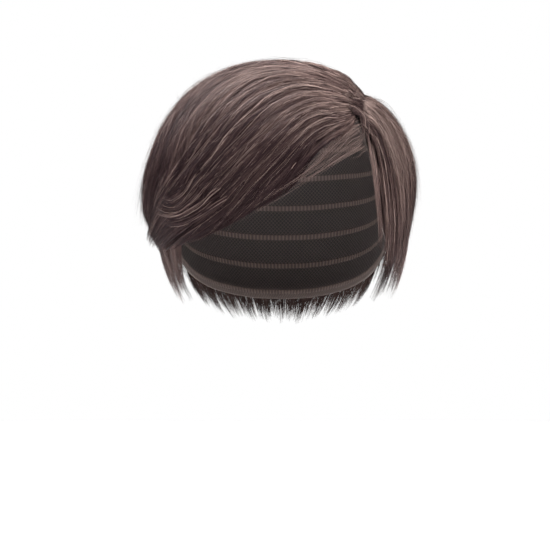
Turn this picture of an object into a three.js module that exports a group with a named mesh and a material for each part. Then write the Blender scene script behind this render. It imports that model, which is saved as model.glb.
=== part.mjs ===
// Short side-parted wig: a fitted net cap with layered sections of hair, each one solid of fused locks.
// Millimetres, +Z up, the face opening towards -Y, the origin at the inside top of the cap.
import * as THREE from 'three';

// Head form that the cap is shaped on: a rounded box of directions about one centre
const HALF_WIDTH = 76;
const HALF_DEPTH_FRONT = 97;
const HALF_DEPTH_BACK = 100;
const HEIGHT_ABOVE = 85;
const HEIGHT_BELOW = 95;
const FORM_POWER = 2.3;
const CENTRE_Z = -HEIGHT_ABOVE;

// Cap
const CAP_WALL = 1.2;
const CAP_ROWS = 8;

// Hair
const ROOT_LIFT = 1.7;
const TIP_THICKNESS = 1.2;
const TIP_TAPER_START = 0.62;
const SEAM_HALF_GAP = 0.25;

// Locks: how much their width, relief and point vary, and how they rise and sink along their length
const WIDTH_VARIATION = 0.25;
const HEIGHT_VARIATION = 0.3;
const LENGTH_VARIATION = 0.3;
const MOST_SHORTENING = 1.1;
const POINT_POWER = 1.2;
const CREST_SHARE = 0.4;
const ROOT_RISE = 0.2;
const TIP_SINK = 0.45;
const TIP_RELIEF = 0.26;
const ROOT_CROWDING = 1.15;

// Colours
const CAP_COLOUR = 0x3b2f2e;
const OUTER_HAIR_COLOUR = 0x6a5550;
const UNDER_HAIR_COLOUR = 0x4d3b39;

// Rows of numbers become objects with named columns
function table(columns, rows) {
  const names = columns.split(' ');
  return rows.map((row) => Object.fromEntries(names.map((name, i) => [name, row[i]])));
}

// Edge of the cap: how far down it reaches at each azimuth from the face, the same on both sides
const CAP_EDGE = table('azimuth elevation', [
  [0, 27],
  [12, 27.5],
  [24, 29],
  [34, 29.5],
  [38.5, 28],
  [41, 17],
  [43, 5],
  [46, -5],
  [52, -14],
  [61, -20],
  [72, -21],
  [82, -10],
  [93, -3],
  [105, -8],
  [116, -23],
  [128, -31],
  [141, -35],
  [154, -37],
  [167, -38.5],
  [180, -39],
]);

// Guide locks of the outer hair, from the lower edge of the fringe round the head to the left temple.
// Each runs from a root at the parting, over the head, to a tip; lift is its height above the head form.
const GUIDE_COLUMNS = 'rootAz rootEl rootLift overAz overEl overLift'
  + ' fallAz fallEl fallLift tipAz tipEl tipLift';
const FRINGE = table(GUIDE_COLUMNS, [
  [35.5, 31, 5, 16, 9, 6, -14.5, -8.5, 9, -45, -20, 10],
  [36.5, 35, 6, 14, 19, 9, -15, 0, 11.5, -52, -18, 13],
  [38.5, 38.2, 7, 11, 27, 11, -18, 7, 13.5, -57, -15.5, 15],
  [42.5, 42.5, 8, 7, 35, 12, -24, 14, 14.5, -62, -13.5, 16.5],
]);
const CROWN = [FRINGE[3], ...table(GUIDE_COLUMNS, [
  [50, 47, 9, -3, 46, 12, -38, 21, 14.5, -70, -11, 18],
  [63, 51.5, 10, -20, 62, 10, -58, 28, 13.5, -83, -9, 20.5],
  [88, 56, 10, -80, 76, 9, -84, 32, 12.5, -98, -9.5, 19],
  [120, 59.5, 9, -150, 66, 10, -112, 30, 12.5, -113, -12, 15.5],
  [144, 61, 7, -168, 53, 11, -136, 22, 14, -128, -16, 15],
])];
const BACK = [CROWN[5], ...table(GUIDE_COLUMNS, [
  [152, 58.5, 6.5, 180, 47, 11, -158, 14, 15, -150, -22, 13],
  [153, 55.5, 6.5, 171, 44, 11, 180, 9, 15.5, 180, -26, 13],
  [148, 53.5, 6.5, 163, 43, 10.5, 157, 13, 15, 150, -24, 13],
  [139, 54, 6.5, 150, 45, 10, 135, 15, 14.5, 128, -19, 12.5],
])];
const LEFT_SIDE = [BACK[4], ...table(GUIDE_COLUMNS, [
  [118, 57, 6, 118, 46, 9.5, 113, 17, 14, 112, -17, 11.5],
  [90, 54, 6, 95, 42, 10, 95, 14, 14.5, 98, -14, 11],
  [65, 49.7, 6, 74, 39, 10.5, 79, 11, 14.5, 86, -14, 11],
  [52, 44.5, 5.5, 59, 35, 9.5, 65, 8, 12.5, 76, -19, 10.5],
  [41, 34, 5, 47, 27, 7, 52, 3, 9, 60, -24, 8.5],
])];

// Guide locks of the shorter layers below, which start on the cap and hang past its edge
const RIGHT_UNDER = table(GUIDE_COLUMNS, [
  [-44, 6, 2.8, -44, -4, 3.4, -46, -15, 4.2, -51, -31, 4.2],
  [-56, 7, 2.8, -57, -5, 3.8, -59, -19, 5.4, -62, -39, 5.4],
  [-72, 8, 2.8, -73, -5, 4, -74, -18, 6.2, -76, -42, 6.5],
  [-88, 8, 2.8, -89, -4, 4.2, -91, -14, 6.6, -94, -34, 7.5],
  [-104, 8, 2.8, -106, -5, 4.2, -108, -17, 6.4, -111, -37, 7],
  [-120, 6, 2.8, -122, -8, 4.2, -124, -22, 6.2, -127, -42, 6.5],
]);
const LEFT_UNDER = table(GUIDE_COLUMNS, [
  [40, 28.5, 2.8, 38, 13, 3.2, 39.5, -3, 3.6, 48, -27, 3.6],
  [47, 20, 2.8, 45.5, 8, 3.6, 48, -9, 4.4, 56, -36, 4.6],
  [61, 10, 2.8, 61, 0, 4, 63, -16, 6.6, 67, -41, 8],
  [74, 8, 2.8, 75, -4, 4.2, 76, -18, 8.4, 79, -43, 10.5],
  [89, 8, 2.8, 90, -3, 4.2, 91, -15, 8.8, 94, -35, 11],
  [105, 8, 2.8, 106, -5, 4.2, 108, -18, 8, 111, -38, 9.5],
  [120, 6, 2.8, 122, -8, 4.2, 124, -22, 6.6, 127, -42, 7],
]);
const NAPE_UNDER = table(GUIDE_COLUMNS, [
  [123, -8, 2.8, 126, -17, 3.6, 129, -28, 5, 133, -42, 5.2],
  [142, -8, 2.8, 144, -18, 3.8, 146, -30, 5.4, 149, -45, 5.6],
  [161, -8, 2.8, 162, -19, 4, 163, -31, 5.6, 165, -47, 5.8],
  [180, -8, 2.8, 180, -19, 4, 180, -32, 5.6, 180, -48, 5.8],
  [199, -8, 2.8, 198, -19, 4, 197, -31, 5.6, 195, -47, 5.8],
  [218, -8, 2.8, 216, -18, 3.8, 214, -30, 5.4, 211, -45, 5.6],
  [237, -8, 2.8, 234, -17, 3.6, 231, -28, 5, 227, -42, 5.2],
]);

// Sections of hair: lifts of the inside at over, fall and tip, number of locks, columns and rows of each,
// depth of the creases between locks, length of a lock's point as a share of the lock, seed of its variation
const SECTIONS = table('name guides over fall tip locks columns rows relief point seed colour', [
  ['fringe_sweep', FRINGE, 2.6, 4, 5.6, 9, 4, 10, 2.6, 0.07, 3, OUTER_HAIR_COLOUR],
  ['crown_sweep', CROWN, 3.4, 6.2, 9.5, 13, 4, 10, 3, 0.07, 7, OUTER_HAIR_COLOUR],
  ['back_fall', BACK, 2.8, 5.5, 7.4, 11, 4, 10, 3, 0.09, 11, OUTER_HAIR_COLOUR],
  ['left_side_fall', LEFT_SIDE, 2.6, 5.6, 7, 11, 4, 10, 2.6, 0.12, 19, OUTER_HAIR_COLOUR],
  ['right_side_under', RIGHT_UNDER, 1.8, 2, 2.4, 10, 3, 5, 1.2, 0.2, 23, UNDER_HAIR_COLOUR],
  ['left_side_under', LEFT_UNDER, 1.8, 2, 2.4, 10, 3, 6, 1.2, 0.2, 29, UNDER_HAIR_COLOUR],
  ['nape_under', NAPE_UNDER, 1.8, 2, 2.4, 11, 3, 5, 1.2, 0.18, 31, UNDER_HAIR_COLOUR],
]);

// Unit direction from the centre of the form; azimuth 0 faces the front and turns towards +X
function direction(azimuth, elevation) {
  const az = THREE.MathUtils.degToRad(azimuth);
  const el = THREE.MathUtils.degToRad(elevation);
  return new THREE.Vector3(Math.sin(az) * Math.cos(el), -Math.cos(az) * Math.cos(el), Math.sin(el));
}

// Point at a height above the head form along a direction
function place(dir, lift) {
  const depth = dir.y < 0 ? HALF_DEPTH_FRONT : HALF_DEPTH_BACK;
  const height = dir.z > 0 ? HEIGHT_ABOVE : HEIGHT_BELOW;
  const across = Math.abs(dir.x / HALF_WIDTH) ** FORM_POWER;
  const along = Math.abs(dir.y / depth) ** FORM_POWER;
  const up = Math.abs(dir.z / height) ** FORM_POWER;
  const radius = (across + along + up) ** (-1 / FORM_POWER);
  return dir.clone().multiplyScalar(radius + lift).add(new THREE.Vector3(0, 0, CENTRE_Z));
}

// Smooth curve of numbers through evenly spaced values, u from 0 to the last index
function smooth(values, u) {
  const last = values.length - 1;
  const i = Math.min(Math.floor(u), last - 1);
  const f = u - i;
  const b = values[i];
  const c = values[i + 1];
  const a = i > 0 ? values[i - 1] : 2 * b - c;
  const d = i + 2 <= last ? values[i + 2] : 2 * c - b;
  return b + 0.5 * f * (c - a + f * (2 * a - 5 * b + 4 * c - d + f * (3 * (b - c) + d - a)));
}

// Smooth curve of directions through evenly spaced directions
function smoothDirection(directions, u) {
  const part = (axis) => smooth(directions.map((dir) => dir[axis]), u);
  return new THREE.Vector3(part('x'), part('y'), part('z')).normalize();
}

// Repeatable variation between -1 and 1
function vary(seed, index) {
  const wave = Math.sin(seed * 12.9898 + index * 78.233) * 43758.5453;
  return 2 * (wave - Math.floor(wave)) - 1;
}

// Solid from an outer and an inner grid of points, joined round the four borders
function shell(outer, inner) {
  const columns = outer.length;
  const rows = outer[0].length;
  const lastRow = rows - 1;
  const lastColumn = columns - 1;
  const positions = [];
  const index = [];
  [outer, inner].forEach((grid) => grid.flat().forEach((point) => positions.push(point.x, point.y, point.z)));
  const at = (layer, column, row) => layer * columns * rows + column * rows + row;
  const quad = (a, b, c, d) => index.push(a, b, c, a, c, d);
  for (let column = 0; column + 1 < columns; column += 1) {
    for (let row = 0; row + 1 < rows; row += 1) {
      quad(at(0, column, row), at(0, column, row + 1), at(0, column + 1, row + 1), at(0, column + 1, row));
      quad(at(1, column, row), at(1, column + 1, row), at(1, column + 1, row + 1), at(1, column, row + 1));
    }
    quad(at(0, column + 1, 0), at(1, column + 1, 0), at(1, column, 0), at(0, column, 0));
    const next = column + 1;
    quad(at(0, column, lastRow), at(1, column, lastRow), at(1, next, lastRow), at(0, next, lastRow));
  }
  for (let row = 0; row + 1 < rows; row += 1) {
    quad(at(0, 0, row), at(1, 0, row), at(1, 0, row + 1), at(0, 0, row + 1));
    const next = row + 1;
    quad(at(0, lastColumn, next), at(1, lastColumn, next), at(1, lastColumn, row), at(0, lastColumn, row));
  }
  return closedGeometry(positions, index);
}

// Geometry with its faces turned outwards
function closedGeometry(positions, index) {
  const corner = (i) => new THREE.Vector3().fromArray(positions, 3 * i);
  let volume = 0;
  for (let i = 0; i < index.length; i += 3) {
    volume += corner(index[i]).dot(corner(index[i + 1]).cross(corner(index[i + 2])));
  }
  if (volume < 0) {
    index.reverse();
  }
  const geometry = new THREE.BufferGeometry();
  geometry.setAttribute('position', new THREE.Float32BufferAttribute(positions, 3));
  geometry.setIndex(index);
  geometry.computeVertexNormals();
  return geometry;
}

// One section of hair: smooth between its guides, with rounded locks that end in points
function hairSection(section) {
  const guides = section.guides;
  const span = guides.length - 1;
  const stations = ['root', 'over', 'fall', 'tip'];
  const lineOf = (name) => guides.map((guide) => direction(guide[`${name}Az`], guide[`${name}El`]));
  const lines = stations.map(lineOf);
  const lifts = stations.map((name) => guides.map((guide) => guide[`${name}Lift`]));
  const innerLifts = [ROOT_LIFT, section.over, section.fall, section.tip];
  const columns = section.locks * section.columns;
  const end = stations.length - 1;
  const pointAt = (across, along, lift) => {
    const dir = smoothDirection(lines.map((line) => smoothDirection(line, across * span)), end * along);
    return place(dir, lift);
  };
  const outerLift = (across, along) => smooth(lifts.map((line) => smooth(line, across * span)), end * along);
  const border = (lock) => {
    const within = Number.isInteger(lock) && lock > 0 && lock < section.locks;
    return (lock + (within ? WIDTH_VARIATION * vary(section.seed + 2, lock) : 0)) / section.locks;
  };
  const outer = [];
  const inner = [];
  for (let column = 0; column <= columns; column += 1) {
    const lock = Math.min(Math.floor(column / section.columns), section.locks - 1);
    const across = THREE.MathUtils.lerp(border(lock), border(lock + 1), column / section.columns - lock);
    const fromCrest = Math.abs(2 * (column / section.columns - lock) - 1);
    const crease = fromCrest === 1;
    const trim = crease ? 0 : LENGTH_VARIATION * (1 + vary(section.seed, lock));
    const reach = 1 - section.point * Math.min(fromCrest ** POINT_POWER + trim, MOST_SHORTENING);
    const crest = crease ? 0 : HEIGHT_VARIATION * vary(section.seed + 1, lock);
    const hump = section.relief * (CREST_SHARE - fromCrest ** 2 + crest);
    outer.push([]);
    inner.push([]);
    for (let row = 0; row <= section.rows; row += 1) {
      const share = row / section.rows;
      const along = reach * share ** ROOT_CROWDING;
      const sink = THREE.MathUtils.lerp(TIP_RELIEF, 1, Math.min(1, (1 - share) / TIP_SINK));
      const body = Math.min(1, share / ROOT_RISE) * sink;
      const taper = THREE.MathUtils.smoothstep(share, TIP_TAPER_START, 1);
      const top = outerLift(across, along) + body * hump;
      const under = smooth(innerLifts, end * along);
      const bottom = THREE.MathUtils.lerp(under, Math.max(under, top - TIP_THICKNESS), taper);
      const points = [top, bottom].map((lift) => pointAt(across, along, lift));
      if (column === 0 || column === columns) {
        const inward = border(column === 0 ? 0.5 : section.locks - 0.5);
        [top, bottom].forEach((lift, i) => {
          const step = pointAt(inward, along, lift).sub(points[i]).setLength(SEAM_HALF_GAP);
          points[i].add(step);
        });
      }
      outer[column].push(points[0]);
      inner[column].push(points[1]);
    }
  }
  return shell(outer, inner);
}

// Cap: a thin dome from the top down to its shaped edge
function capDome() {
  const otherSide = CAP_EDGE.slice(1, -1).reverse();
  const mirrored = otherSide.map((row) => ({ azimuth: -row.azimuth, elevation: row.elevation }));
  const ring = [...CAP_EDGE, ...mirrored];
  const positions = [];
  const index = [];
  const lifts = [CAP_WALL, 0];
  lifts.forEach((lift) => {
    ring.forEach((edge) => {
      for (let row = 1; row <= CAP_ROWS; row += 1) {
        const elevation = 90 - (90 - edge.elevation) * row / CAP_ROWS;
        positions.push(...place(direction(edge.azimuth, elevation), lift).toArray());
      }
    });
  });
  lifts.forEach((lift) => positions.push(...place(direction(0, 90), lift).toArray()));
  const around = ring.length;
  const pole = 2 * around * CAP_ROWS;
  const at = (layer, column, row) => (layer * around + column % around) * CAP_ROWS + row - 1;
  const quad = (a, b, c, d) => index.push(a, b, c, a, c, d);
  for (let column = 0; column < around; column += 1) {
    index.push(pole, at(0, column, 1), at(0, column + 1, 1));
    index.push(pole + 1, at(1, column + 1, 1), at(1, column, 1));
    for (let row = 1; row < CAP_ROWS; row += 1) {
      quad(at(0, column, row), at(0, column, row + 1), at(0, column + 1, row + 1), at(0, column + 1, row));
      quad(at(1, column, row), at(1, column + 1, row), at(1, column + 1, row + 1), at(1, column, row + 1));
    }
    const next = column + 1;
    quad(at(0, column, CAP_ROWS), at(1, column, CAP_ROWS), at(1, next, CAP_ROWS), at(0, next, CAP_ROWS));
  }
  return closedGeometry(positions, index);
}

// Named mesh with its colour
function piece(name, geometry, colour) {
  const material = new THREE.MeshStandardMaterial({ color: colour, roughness: 0.7 });
  material.name = name;
  const mesh = new THREE.Mesh(geometry, material);
  mesh.name = name;
  return mesh;
}

const wig = new THREE.Group();
wig.name = 'side_parted_wig';
wig.add(piece('cap', capDome(), CAP_COLOUR));
SECTIONS.forEach((section) => wig.add(piece(section.name, hairSection(section), section.colour)));

export default wig;
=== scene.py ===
import math

import bpy
import numpy as np
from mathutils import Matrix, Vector


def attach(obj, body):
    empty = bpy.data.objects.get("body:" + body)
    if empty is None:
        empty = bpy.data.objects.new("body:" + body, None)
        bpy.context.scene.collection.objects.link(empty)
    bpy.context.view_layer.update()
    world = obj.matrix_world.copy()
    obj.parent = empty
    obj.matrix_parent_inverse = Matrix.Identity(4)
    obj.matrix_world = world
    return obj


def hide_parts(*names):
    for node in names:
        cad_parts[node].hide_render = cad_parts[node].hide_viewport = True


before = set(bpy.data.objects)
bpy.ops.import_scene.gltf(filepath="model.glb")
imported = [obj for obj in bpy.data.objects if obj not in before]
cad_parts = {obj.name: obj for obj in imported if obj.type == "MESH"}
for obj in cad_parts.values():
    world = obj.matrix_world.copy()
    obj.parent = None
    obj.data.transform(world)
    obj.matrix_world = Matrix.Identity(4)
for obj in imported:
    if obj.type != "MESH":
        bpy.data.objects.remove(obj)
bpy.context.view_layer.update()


# Studio: a pale floor well below the wig, which is held up, and a white room around it.
# The camera looks level at the face opening, from the distance of a portrait lens.
FIELD = 0.3685
CAMERA_DISTANCE = 1.9
CAMERA_SIDE, CAMERA_HEIGHT = -0.004, -0.1333
FLOOR_HEIGHT, FLOOR_RADIUS = -0.36, 2.5


class Wire:
    """A socket of a node tree. Arithmetic on it adds Math nodes to that tree."""

    def __init__(self, tree, socket=None):
        self.tree = tree
        self.socket = socket

    def node(self, kind, settings=None, inputs=None, out=0):
        made = self.tree.nodes.new(kind)
        for name, value in (settings or {}).items():
            if name == "stops":
                ramp = made.color_ramp
                while len(ramp.elements) < len(value):
                    ramp.elements.new(0.5)
                for element, (position, colour) in zip(ramp.elements, value):
                    element.position = position
                    element.color = (*colour, 1.0)
            else:
                setattr(made, name, value)
        for key, value in (inputs or {}).items():
            if isinstance(value, Wire):
                self.tree.links.new(value.socket, made.inputs[key])
            else:
                made.inputs[key].default_value = value
        return Wire(self.tree, made.outputs[out] if made.outputs else None)

    def output(self, name):
        return Wire(self.tree, self.socket.node.outputs[name])

    def math(self, operation, *values):
        return self.node("ShaderNodeMath", {"operation": operation}, dict(enumerate(values)))

    def __add__(self, other):
        return self.math("ADD", self, other)

    def __radd__(self, other):
        return self.math("ADD", other, self)

    def __sub__(self, other):
        return self.math("SUBTRACT", self, other)

    def __rsub__(self, other):
        return self.math("SUBTRACT", other, self)

    def __mul__(self, other):
        return self.math("MULTIPLY", self, other)

    def __rmul__(self, other):
        return self.math("MULTIPLY", other, self)

    def __truediv__(self, other):
        return self.math("DIVIDE", self, other)

    def __rtruediv__(self, other):
        return self.math("DIVIDE", other, self)

    def __pow__(self, other):
        return self.math("POWER", self, other)

    def __gt__(self, other):
        return self.math("GREATER_THAN", self, other)

    def floor(self):
        return self.math("FLOOR", self)

    def sin(self):
        return self.math("SINE", self)

    def least(self, other):
        return self.math("MINIMUM", self, other)

    def most(self, other):
        return self.math("MAXIMUM", self, other)

    def step(self, low, high):
        """0 below low, 1 above high, smooth between."""
        return self.node("ShaderNodeMapRange", {"interpolation_type": "SMOOTHSTEP"},
                         {"Value": self, "From Min": low, "From Max": high})


def new_material(name):
    material = bpy.data.materials.new(name)
    material.use_nodes = True
    material.node_tree.nodes.clear()
    return material, Wire(material.node_tree)


def finish_material(wire, sockets):
    surface = wire.node("ShaderNodeBsdfPrincipled", None, sockets)
    wire.node("ShaderNodeOutputMaterial", None, {"Surface": surface})


def floor_paint():
    material, wire = new_material("pale_floor")
    place = wire.node("ShaderNodeTexCoord", out="Object")
    grain = wire.node("ShaderNodeTexNoise", None, {"Vector": place, "Scale": 3.0}, out="Fac")
    tone = wire.node("ShaderNodeValToRGB", {"stops": [(0.3, (0.86, 0.86, 0.86)), (0.7, (0.9, 0.9, 0.9))]},
                     {"Fac": grain})
    finish_material(wire, {"Base Color": tone, "Roughness": 0.8})
    return material


bpy.ops.mesh.primitive_circle_add(vertices=96, radius=FLOOR_RADIUS, fill_type="NGON",
                                  location=(0, 0, FLOOR_HEIGHT))
floor = bpy.context.object
floor.name = "floor"
floor.data.materials.append(floor_paint())

camera_data = bpy.data.cameras.new("camera")
camera_data.sensor_width = 36.0
camera_data.lens = 36.0 * CAMERA_DISTANCE / FIELD
camera = bpy.data.objects.new("camera", camera_data)
camera.location = (CAMERA_SIDE, -CAMERA_DISTANCE, CAMERA_HEIGHT)
camera.rotation_euler = (math.radians(90), 0, 0)
bpy.context.scene.collection.objects.link(camera)
bpy.context.scene.camera = camera

world = bpy.data.worlds.new("white_room")
world.use_nodes = True
world.node_tree.nodes.clear()
sky = Wire(world.node_tree)
toward = sky.node("ShaderNodeSeparateXYZ", None, {"Vector": sky.node("ShaderNodeTexCoord", out="Generated")})
glow = 0.12 + 0.3 * toward.output("Z").step(0.0, 1.0)
glow = glow.most(sky.node("ShaderNodeLightPath", out="Is Camera Ray"))
room = sky.node("ShaderNodeBackground", None, {"Color": (1, 1, 1, 1), "Strength": glow})
sky.node("ShaderNodeOutputWorld", None, {"Surface": room})
bpy.context.scene.world = world
bpy.context.scene.view_settings.view_transform = "Standard"


def soft_light(name, place, aim, size, watts):
    data = bpy.data.lights.new(name, "AREA")
    data.shape = "DISK"
    data.size = size
    data.energy = watts
    light = bpy.data.objects.new(name, data)
    light.location = place
    light.rotation_euler = (Vector(aim) - Vector(place)).to_track_quat("-Z", "Y").to_euler()
    bpy.context.scene.collection.objects.link(light)


HEAD_MIDDLE = (0, 0, -0.08)
soft_light("top", (-0.25, 0.2, 1.5), HEAD_MIDDLE, 1.4, 200)
soft_light("left", (-1.0, 0.4, 1.1), HEAD_MIDDLE, 1.2, 65)
soft_light("right", (1.0, -0.5, 0.9), HEAD_MIDDLE, 1.2, 60)


# Cap: a stretch net fitted to the head, open at the face and cut round the ears, with a bound edge.
# It is one thin wall, and the hair is sewn to it in rows of wefts that show on the inside.
MM = 0.001
HALF_WIDTH, HALF_DEPTH_FRONT, HALF_DEPTH_BACK = 76.0, 97.0, 100.0
HEIGHT_ABOVE, HEIGHT_BELOW, FORM_POWER = 85.0, 95.0, 2.3
CAP_WALL = 1.2
CAP_ROWS, CAP_STEPS, CAP_FIRST_ROW = 24, 3, 0.02
NET_SLANT, WEFT_ROWS, WEFT_STITCHES = 520.0, 22, 330
HEM_MIDDLE, HEM_HALF_WIDTH, HEM_FADE, HEM_RIBS, HEM_SLANT = 0.5, 0.015, 0.018, 420, 900
NET_TINT = [(0.0, (0.005, 0.0035, 0.0035)), (1.0, (0.05, 0.034, 0.029))]
CAP_EDGE = [  # azimuth from the face, elevation
    (0, 27), (12, 27.5), (24, 29), (34, 29.5), (38.5, 28), (41, 17), (43, 5), (46, -5), (52, -14), (61, -20),
    (72, -21), (82, -10), (93, -3), (105, -8), (116, -23), (128, -31), (141, -35), (154, -37), (167, -38.5),
    (180, -39),
]


def direction(azimuth, elevation):
    azimuth, elevation = np.radians(azimuth), np.radians(elevation)
    level = np.cos(elevation)
    return np.stack([np.sin(azimuth) * level, -np.cos(azimuth) * level, np.sin(elevation) + 0 * azimuth], -1)


def place_on_form(aim, lift):
    """Points in metres at a height in millimetres above the head form, along unit directions."""
    depth = np.where(aim[..., 1] < 0, HALF_DEPTH_FRONT, HALF_DEPTH_BACK)
    height = np.where(aim[..., 2] > 0, HEIGHT_ABOVE, HEIGHT_BELOW)
    shares = (aim[..., 0] / HALF_WIDTH, aim[..., 1] / depth, aim[..., 2] / height)
    radius = sum(np.abs(share) ** FORM_POWER for share in shares) ** (-1 / FORM_POWER)
    return (aim * (radius + lift)[..., None] + (0, 0, -HEIGHT_ABOVE)) * MM


def smooth(values, u):
    """Smooth curve through evenly spaced rows of values, at the places u between 0 and the last row."""
    values = np.asarray(values, float)
    last = len(values) - 1
    u = np.clip(np.asarray(u, float), 0, last)
    i = np.minimum(np.floor(u).astype(int), last - 1)
    f = (u - i).reshape(u.shape + (1,) * (values.ndim - 1))
    b, c = values[i], values[i + 1]
    first, final = (i == 0).reshape(f.shape), (i == last - 1).reshape(f.shape)
    a = np.where(first, 2 * b - c, values[np.maximum(i - 1, 0)])
    d = np.where(final, 2 * c - b, values[np.minimum(i + 2, last)])
    return b + 0.5 * f * (c - a + f * (2 * a - 5 * b + 4 * c - d + f * (3 * (b - c) + d - a)))


def add_piece(name, points, faces, uvs, material):
    """Mesh object with a UV map for its pattern; uvs holds one pair for each corner of each face."""
    mesh = bpy.data.meshes.new(name)
    mesh.from_pydata([tuple(point) for point in points], [], faces)
    layer = mesh.uv_layers.new(name="OFBake")
    layer.data.foreach_set("uv", np.asarray(uvs, np.float32).ravel())
    mesh.materials.append(material)
    mesh.shade_smooth()
    mesh.validate()
    piece = bpy.data.objects.new(name, mesh)
    bpy.context.scene.collection.objects.link(piece)
    return piece


def net_cloth():
    material, wire = new_material("net_cap")
    uv = wire.node("ShaderNodeUVMap", {"uv_map": "OFBake"})
    parts = wire.node("ShaderNodeSeparateXYZ", None, {"Vector": uv})
    around, down = parts.output("X"), parts.output("Y")
    one = (around * NET_SLANT * 2 + down * NET_SLANT).sin()
    other = (around * NET_SLANT * 2 - down * NET_SLANT).sin()
    thread = one.math("ABSOLUTE", one).least(other.math("ABSOLUTE", other))
    net = 1 - thread.step(0.18, 0.5)
    weft = (down * 2 * math.pi * WEFT_ROWS).sin().step(0.78, 0.92)
    stitch = (around * 2 * math.pi * WEFT_STITCHES).sin().step(-0.4, 0.5)
    edge = down - HEM_MIDDLE
    hem = 1 - edge.math("ABSOLUTE", edge).step(HEM_HALF_WIDTH, HEM_FADE)
    rib = (around * 2 * math.pi * HEM_RIBS + down * HEM_SLANT).sin().step(-0.6, 0.6)
    sewn = (weft * (0.45 + 0.55 * stitch)).most(hem * (0.35 + 0.3 * rib))
    cover = (net * 0.4 * (1 - weft) * (1 - hem)).most(sewn)
    tone = wire.node("ShaderNodeValToRGB", {"stops": NET_TINT}, {"Fac": cover})
    bump = wire.node("ShaderNodeBump", None, {"Height": cover, "Strength": 0.6, "Distance": 0.0006})
    finish_material(wire, {"Base Color": tone, "Roughness": 0.75, "Specular IOR Level": 0.25, "Normal": bump})
    return material


def net_cap():
    edge = np.array(CAP_EDGE, float)
    fine = np.linspace(0, len(edge) - 1, (len(edge) - 1) * CAP_STEPS + 1)
    half = smooth(edge, fine)
    ring = np.concatenate([half, half[-2:0:-1] * (-1, 1)])
    rows = np.linspace(CAP_FIRST_ROW, 1, CAP_ROWS)
    elevation = 90 - (90 - ring[:, 1:]) * rows
    aim = direction(ring[:, :1] + 0 * elevation, elevation)
    outside = place_on_form(aim, np.full(elevation.shape, CAP_WALL))
    inside = place_on_form(aim, np.zeros(elevation.shape))
    loop = np.concatenate([outside, inside[:, ::-1]], 1)
    count, length = loop.shape[:2]
    crown = [place_on_form(direction(0.0, 90.0)[None], np.array([lift]))[0] for lift in (CAP_WALL, 0.0)]
    points = np.concatenate([loop.reshape(-1, 3), crown])
    turn = np.linspace(0, 1, count + 1)
    fall = np.concatenate([0.5 * rows, 1 - 0.5 * rows[::-1]])
    faces, uvs = [], []
    for column in range(count):
        after = (column + 1) % count
        left, right = turn[column], turn[column + 1]
        for row in range(length - 1):
            faces.append((column * length + row, column * length + row + 1,
                          after * length + row + 1, after * length + row))
            uvs += [(left, fall[row]), (left, fall[row + 1]), (right, fall[row + 1]), (right, fall[row])]
        top, under = count * length, count * length + 1
        faces.append((top, column * length, after * length))
        uvs += [((left + right) / 2, 0), (left, fall[0]), (right, fall[0])]
        faces.append((under, after * length + length - 1, column * length + length - 1))
        uvs += [((left + right) / 2, 1), (right, fall[-1]), (left, fall[-1])]
    return add_piece("net_cap", points, faces, uvs, net_cloth())


cap = net_cap()
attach(cap, "root")
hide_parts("cap")


# Shorter layers: hair sewn low on the cap at the nape and over each ear, cut to hang just past its edge.
# Each is a body of fused locks, painted dark as shade, that gives it its depth, under loose strands of synthetic
# fibre.
ROOT_LIFT, TIP_THICKNESS, TIP_TAPER_START = 1.7, 1.2, 0.62
WIDTH_VARIATION, HEIGHT_VARIATION, LENGTH_VARIATION, MOST_SHORTENING = 0.25, 0.3, 0.3, 1.1
POINT_POWER, CREST_SHARE, ROOT_RISE, TIP_SINK, TIP_RELIEF = 1.2, 0.4, 0.2, 0.45, 0.26
LOCK_COLUMNS, BODY_ROWS, SHEET_ROWS = 8, 28, 56
SHEET_END, NOTCH_SHARE = 1.06, 0.35
BODY_SINK, BODY_WALL, ROOT_ROUNDING, ROOT_STEP, ROOT_START = 2.6, 0.5, 0.06, 0.55, -0.015
LOCK_BORDER_POWER, BODY_CROWDING, SHEET_CROWDING, END_STEP, EDGE_STRIP = 8, 1.5, 1.6, 0.05, 0.002
# Guides: azimuth, elevation and lift at the root, then further along, and at the tip
RIGHT_UNDER = [
    (-44, 6, 2.8, -44, -4, 3.4, -46, -15, 4.2, -51, -31, 4.2),
    (-56, 7, 2.8, -57, -5, 3.8, -59, -19, 5.4, -62, -39, 5.4),
    (-72, 8, 2.8, -73, -5, 4, -74, -18, 6.2, -76, -42, 6.5),
    (-88, 8, 2.8, -89, -4, 4.2, -91, -14, 6.6, -94, -34, 7.5),
    (-104, 8, 2.8, -106, -5, 4.2, -108, -17, 6.4, -111, -37, 7),
    (-120, 6, 2.8, -122, -8, 4.2, -124, -22, 6.2, -127, -42, 6.5),
]
LEFT_UNDER = [
    (40, 28.5, 2.8, 38, 13, 3.2, 39.5, -3, 3.6, 48, -27, 3.6),
    (47, 20, 2.8, 45.5, 8, 3.6, 48, -9, 4.4, 56, -36, 4.6),
    (61, 10, 2.8, 61, 0, 4, 63, -16, 6.6, 67, -41, 8),
    (74, 8, 2.8, 75, -4, 4.2, 76, -18, 8.4, 79, -43, 10.5),
    (89, 8, 2.8, 90, -3, 4.2, 91, -15, 8.8, 94, -35, 11),
    (105, 8, 2.8, 106, -5, 4.2, 108, -18, 8, 111, -38, 9.5),
    (120, 6, 2.8, 122, -8, 4.2, 124, -22, 6.6, 127, -42, 7),
]
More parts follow.
